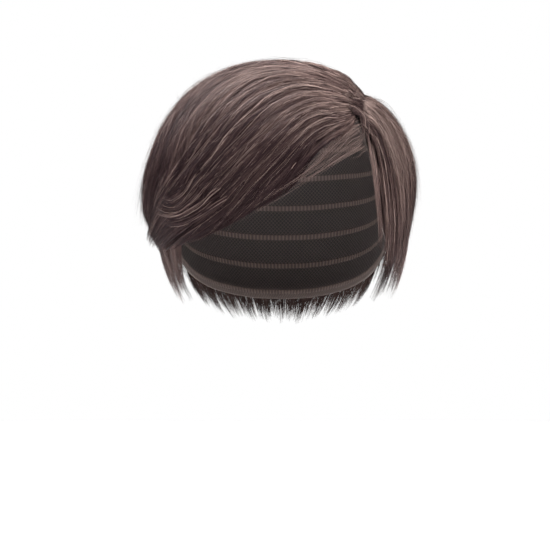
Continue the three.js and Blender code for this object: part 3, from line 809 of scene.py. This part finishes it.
lay_strands("streak_strands", outer, "outer_hair", From=0.8, To=5.6, Wisps=24, Strands=2, Points=16, Arch=0.65, Fall=1,
            Wisp_width=0.02, Shortest=0.6, Longest=0.9, Lift=0.0002, Root_run=0.3, Root_sink=0.002, Bright=0.8,
            Tone=0.1, Thickness=0.00014, Hair=outer_hair, Seed=7)


# Roots in the parting: short hair that lies across it, from below the crown hair to below the side hair.
# It is sewn to the cap and hides it between the two rows of roots.
PARTING = [
    (30, 33, 3.5, 35, 34, 4.5, 40, 34, 4.5, 46, 33, 3),
    (31, 40, 4, 38, 40.5, 5.5, 45, 40, 5, 52, 37, 3),
    (35, 45, 4, 43, 45, 6, 51, 44, 5.5, 58, 41, 3),
    (44, 50, 4, 52, 49.5, 6.5, 59, 47.5, 5.5, 66, 44, 3),
    (57, 55.5, 4, 65, 53.5, 6.5, 70, 50.5, 5.5, 76, 46, 3),
    (84, 61, 4, 88, 57.5, 6.5, 90, 54, 5.5, 92, 49, 3),
    (124, 64.5, 4, 121, 60.5, 6, 118, 57, 5.5, 116, 52, 3),
    (152, 66, 4, 146, 61.5, 6, 139, 55, 5.5, 135, 49, 3),
    (166, 64, 4, 158, 60.5, 6, 149, 54, 5.5, 145, 48, 3),
]
parting = Section("parting_roots", PARTING, span=(0, 8), inside=(2, 2, 2), locks=4, relief=0, point=0, seed=5,
                  rounding=0.001)
# Their tone is a little darker: painted shade in the crease of the parting.
lay_strands("parting_roots", [parting], "outer_hair", To=8, Wisps=160, Strands=10, Points=6, Lift=0, Depth=0.0015,
            Wave=0.05, Cross=0.3, Tip_kick=0, Tone=-0.08, Hair=outer_hair, Seed=57)


# Curled tips at the right temple: ends of the crown and fringe hair that turn up in one loose curl.
# They are single strands of the same fibre, sewn in with the hair above them.
TEMPLE_CURLS = [
    (-31.5, 18, 15, -33, 12, 15.5, -34.5, 7, 15.5, -36.5, 4, 16, -40, 2, 16, -43, 1.5, 16.5, -45.5, 4, 17),
    (-26.5, 14.5, 14.6, -29.5, 8.5, 15, -32.5, 4, 15, -35.5, 1, 15.6, -40, -1, 15.6, -44.5, -0.5, 16,
     -48.5, 1.5, 16.6),
    (-22.5, 10, 14.2, -26.5, 5.5, 14.7, -30, 1.5, 14.7, -34, -1.5, 15.2, -39, -3.5, 15.2, -45, -3.5, 15.7,
     -51, -1.5, 16.2),
    (-18.5, 6, 13.8, -23, 2, 14.3, -27, -1.5, 14.3, -31.5, -4, 14.8, -37, -6, 14.8, -43.5, -6.5, 15.3,
     -50.5, -5, 15.8),
    (-14.5, 2, 13.4, -20, -1.5, 13.9, -25, -4.5, 13.9, -30, -7, 14.4, -36, -9, 14.4, -43.5, -9.5, 14.9,
     -50.5, -8.5, 15.4),
]
curls = Section("temple_curls", TEMPLE_CURLS, span=(0, 4), inside=(2, 2, 2, 2, 2, 2), locks=4, relief=0, point=0,
                seed=5, rounding=0.001)
# Their tone is darker: painted shade in the hollow of the curl.
lay_strands("temple_curls", [curls], "outer_hair", To=4, Wisps=60, Strands=8, Points=15, Thickness=0.00015,
            Wisp_width=0.1, Wave=0.08, Cross=0.3, Lift=0.0012, Shortest=0.62, Longest=1.0, Root_sink=0.003,
            Root_run=0.35, Bright=0.06, Tone=-0.27, Hair=outer_hair, Seed=111)


# Front lock: a small lock that comes away from the combed hair at the front end of the parting.
# It is of the same fibre and bends down over the edge of the cap.
FRONT_LOCK = [
    (30, 35.5, 8.5, 33.5, 35, 8.5, 36, 32.5, 7.5, 36, 29.5, 6.5, 34.5, 26, 5.5, 31.5, 22.5, 5),
    (34, 36.5, 8.5, 38, 35.5, 8.5, 41, 33, 7.5, 41.5, 29, 6.5, 39.5, 24, 5.5, 36.5, 19.5, 5),
]
front_lock = Section("front_lock", FRONT_LOCK, span=(0, 1), inside=(2, 2, 2, 2, 2), locks=2, relief=0, point=0, seed=5,
                     rounding=0.001)
lay_strands("front_lock", [front_lock], "outer_hair", To=1, Wisps=9, Strands=5, Points=14, Thickness=0.00013,
            Wisp_width=0.12, Wave=0.06, Lift=0.0008, Shortest=0.6, Root_sink=0.002, Bright=0.15, Hair=outer_hair,
            Seed=123)


# Hairline: sparse fine hair below the fringe, sewn to the front edge of the cap.
# Its strands are thin and cross each other.
HAIRLINE = [
    (38, 34.5, 6, 28.5, 30, 7.5, 18.5, 22, 8.5, 11, 14.5, 9, 5, 8.5, 9.5, -2, 3, 10, -9.5, -2.5, 10),
    (43, 32.5, 3.5, 30, 26.5, 6, 20.5, 19.5, 7, 12.5, 12.5, 8, 5, 7, 8.5, -2.5, 2, 9, -11, -3.5, 9),
    (43, 28, 2.5, 31, 22.5, 4.5, 22, 16.5, 5.5, 14, 11, 6.5, 6, 6, 7.5, -2.5, 1, 8, -11.5, -4.5, 8.5),
    (41.5, 23.5, 2, 31.5, 18.5, 3.5, 23, 14.5, 5, 15, 10, 6, 6.5, 5, 7, -2, 0, 7.5, -11.5, -5.5, 8),
    (40.5, 19.5, 1.8, 32, 15.5, 3, 24.5, 12.5, 4.5, 16, 9, 5.5, 7.5, 4, 6.5, -1.5, -0.5, 7, -11.5, -6, 7.5),
]
hairline = Section("hairline_wisps", HAIRLINE, span=(0, 4), inside=(2, 2, 2, 2, 2, 2), locks=4, relief=0, point=0,
                   seed=5, rounding=0.001)
lay_strands("hairline_wisps", [hairline], "outer_hair", To=3.7, Thinning=1.5, Wisps=50, Strands=2, Points=11,
            Thickness=0.00006, Ragged=1.6, Wisp_width=0.15, Wave=0.3, Cross=2, Lift=0, Shortest=0.25, Longest=1.0,
            Root_sink=0.001, Root_spread=0.12, Tip_kick=0.001, Bright=0.03, Tone=0.15, Hair=outer_hair, Seed=135)


# Loose strands: fine fibres all over the outer hair that have come away from it and soften its outline.
# They start anywhere along the combed hair and stand a few millimetres off it at most.
lay_strands("flyaways", outer, "outer_hair", From=0.6, To=17, Wisps=2600, Strands=1, Points=11, Thickness=0.00006,
            Arch=0.65, Fall=1, Wave=0.12, Cross=0.6, Lift=0.0009, Raise=0.0036, Tip_kick=0.006, Shortest=0.35,
            Root_spread=0.6, Root_run=0.4, Tone=0.1, Tip_tone=0.36, Tip_from=0.1, Tip_to=0.7, Side_fade=1,
            Hair=outer_hair, Seed=149)
